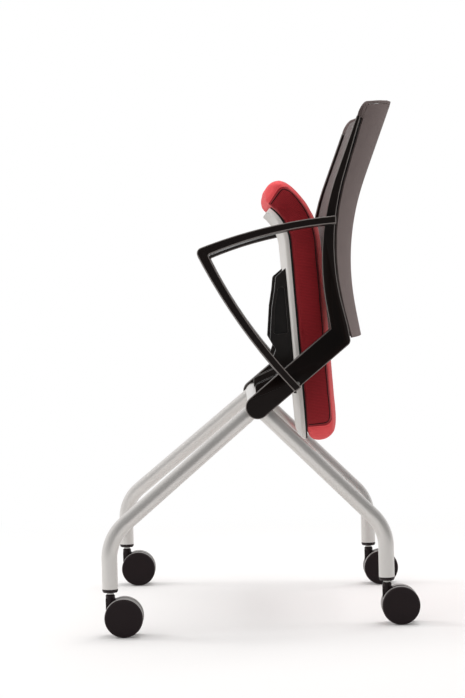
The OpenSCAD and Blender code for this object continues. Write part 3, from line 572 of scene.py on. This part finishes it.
# Painted shade: dark rings round the tyre stand in for the shade in its grooves, which are not modelled.
tread_grey.put("Base Color", tread_grey.mix(x.wave(groove_shade_pitch), (88, 84, 83), (186, 182, 180)))
tread_grey.bump(tread_grey.noise(scale=400.0), distance=0.0002, strength=0.4)
for end in ("front", "rear"):
    for side in ("left", "right"):
        dressed(f"leg_collar_{end}_{side}", wheel_black, edge=0.0004)
        dressed(f"stem_{end}_{side}", zinc, edge=0.0004)
        dressed(f"hood_{end}_{side}", wheel_black, edge=0.0006)
        dressed(f"axle_{end}_{side}", zinc, edge=0.0003)
        for face in ("outer", "inner"):
            dressed(f"wheel_{end}_{side}_{face}", wheel_black, edge=0.0006)
            dressed(f"tyre_{end}_{side}_{face}", tread_grey, edge=0.0008)


# Floor: a pale sheet that keeps the chair's soft shadow near it, and goes over
# to plain white from shade_end to white_start away.
nothing_picked()
bpy.ops.mesh.primitive_plane_add(size=60.0, location=(0.0, 0.0, 0.0))
floor = bpy.context.active_object
floor.name = "floor"
shade_end, white_start = 0.55, 1.5
floor_white = Finish("floor_white", roughness=0.9, gloss=0.1)
by_camera = floor_white.node("ShaderNodeLightPath", {}, out="Is Camera Ray")
by_gloss = floor_white.node("ShaderNodeLightPath", {}, out="Is Glossy Ray")
seen = by_camera + by_gloss
x, y, z = floor_white.parts(floor_white.spot())
reach = (x * x + y * y) ** 0.5
far = floor_white.node("ShaderNodeMapRange", {"interpolation_type": "SMOOTHSTEP"},
                       reach, shade_end, white_start, 0.0, 1.0)
floor_white.put("Base Color", floor_white.mix(by_camera, (236, 234, 232), (238, 236, 235)))
lift = floor_white.node("ShaderNodeEmission", {}, None, seen * 0.04)
matt = Wire(floor_white, floor_white.shader.outputs[0])
near = floor_white.node("ShaderNodeAddShader", {}, matt, lift)
bright = floor_white.node("ShaderNodeEmission", {})
floor_white.feed(floor_white.ready("OUTPUT_MATERIAL"), "Surface",
                 floor_white.node("ShaderNodeMixShader", {}, seen * far, near, bright))
floor.data.materials.append(floor_white.material)


# Studio: white to the eye. The light that it sends comes most from the chair's
# far side and least from the camera's, so that edges catch it and faces stay
# deep, and gloss sees a darker front than matt paint does.
world = bpy.data.worlds.new("studio")
bpy.context.scene.world = world
world.use_nodes = True
studio = Nodes(world.node_tree)
dim_side, light_side, light_level = -0.9, 0.5, 0.95
dim_level, dim_level_in_gloss = 0.42, 0.1
light_from = Vector((-0.86, -0.36, -0.36)).normalized()
toward = studio.node("ShaderNodeTexCoord", {}, out="Generated")
lit = studio.node("ShaderNodeVectorMath", {"operation": "DOT_PRODUCT"}, toward, light_from, out="Value")
gloss_ray = studio.node("ShaderNodeLightPath", {}, out="Is Glossy Ray")
dim = studio.node("ShaderNodeMapRange", {}, gloss_ray, None, None, dim_level, dim_level_in_gloss)
wall = studio.node("ShaderNodeMapRange", {"interpolation_type": "SMOOTHSTEP"},
                   lit, dim_side, light_side, dim, light_level)
camera_ray = studio.node("ShaderNodeLightPath", {}, out="Is Camera Ray")
glass_ray = studio.node("ShaderNodeLightPath", {}, out="Is Transmission Ray")
to_eye = camera_ray.at_least(glass_ray)
level = studio.node("ShaderNodeMapRange", {}, to_eye, None, None, wall, 1.0)
sky = studio.ready("BACKGROUND")
studio.feed(sky, "Color", (1.0, 1.0, 1.0, 1.0))
studio.feed(sky, "Strength", level)


def lamp(name, place, aim, width, height, power):
    """Soft box that lights the chair and isn't mirrored in it."""
    data = bpy.data.lights.new(name, "AREA")
    data.shape, data.size, data.size_y, data.energy = "RECTANGLE", width, height, power
    made = bpy.data.objects.new(name, data)
    bpy.context.scene.collection.objects.link(made)
    made.location = place
    made.rotation_euler = (Vector(aim) - Vector(place)).to_track_quat("-Z", "Y").to_euler()
    made.visible_glossy = False


lamp("overhead", (-0.2, 0.45, 2.5), (0.0, 0.0, 0.0), 1.5, 1.5, power=31.0)
lamp("upper_left", (-0.5, -2.1, 1.9), (0.0, 0.0, 0.5), 0.8, 0.8, power=16.0)
lamp("right_behind", (-1.7, 2.3, 1.0), (0.0, 0.1, 0.5), 0.5, 1.6, power=3.0)
lamp("by_camera", (2.8, -1.4, 1.2), (0.0, 0.0, 0.4), 1.8, 1.8, power=14.0)


# Camera: at the height and side of the photograph, far off with a long lens.
# Its lens is the photograph's, in pixels of a frame 698 pixels high.
yaw, pitch, roll = -0.0017, 0.0322, -0.0248
stand = Vector((3.8895, -0.0437, 0.5626))
lens_pixels, frame_pixels, film = 2292.8, 698, 36.0
aim = Vector((-math.cos(pitch) * math.cos(yaw), -math.cos(pitch) * math.sin(yaw), -math.sin(pitch)))
right = aim.cross(Vector((0.0, 0.0, 1.0))).normalized()
top = right.cross(aim)
turned_right = math.cos(roll) * right + math.sin(roll) * top
turned_top = -math.sin(roll) * right + math.cos(roll) * top
turn = Matrix((turned_right, turned_top, -aim)).transposed()
camera = bpy.data.objects.new("camera", bpy.data.cameras.new("camera"))
bpy.context.scene.collection.objects.link(camera)
camera.data.sensor_width = film
camera.data.lens = lens_pixels / frame_pixels * film
camera.data.clip_end = 100.0
camera.matrix_world = Matrix.Translation(stand) @ turn.to_4x4()
bpy.context.scene.camera = camera
bpy.context.scene.view_settings.view_transform = "Standard"
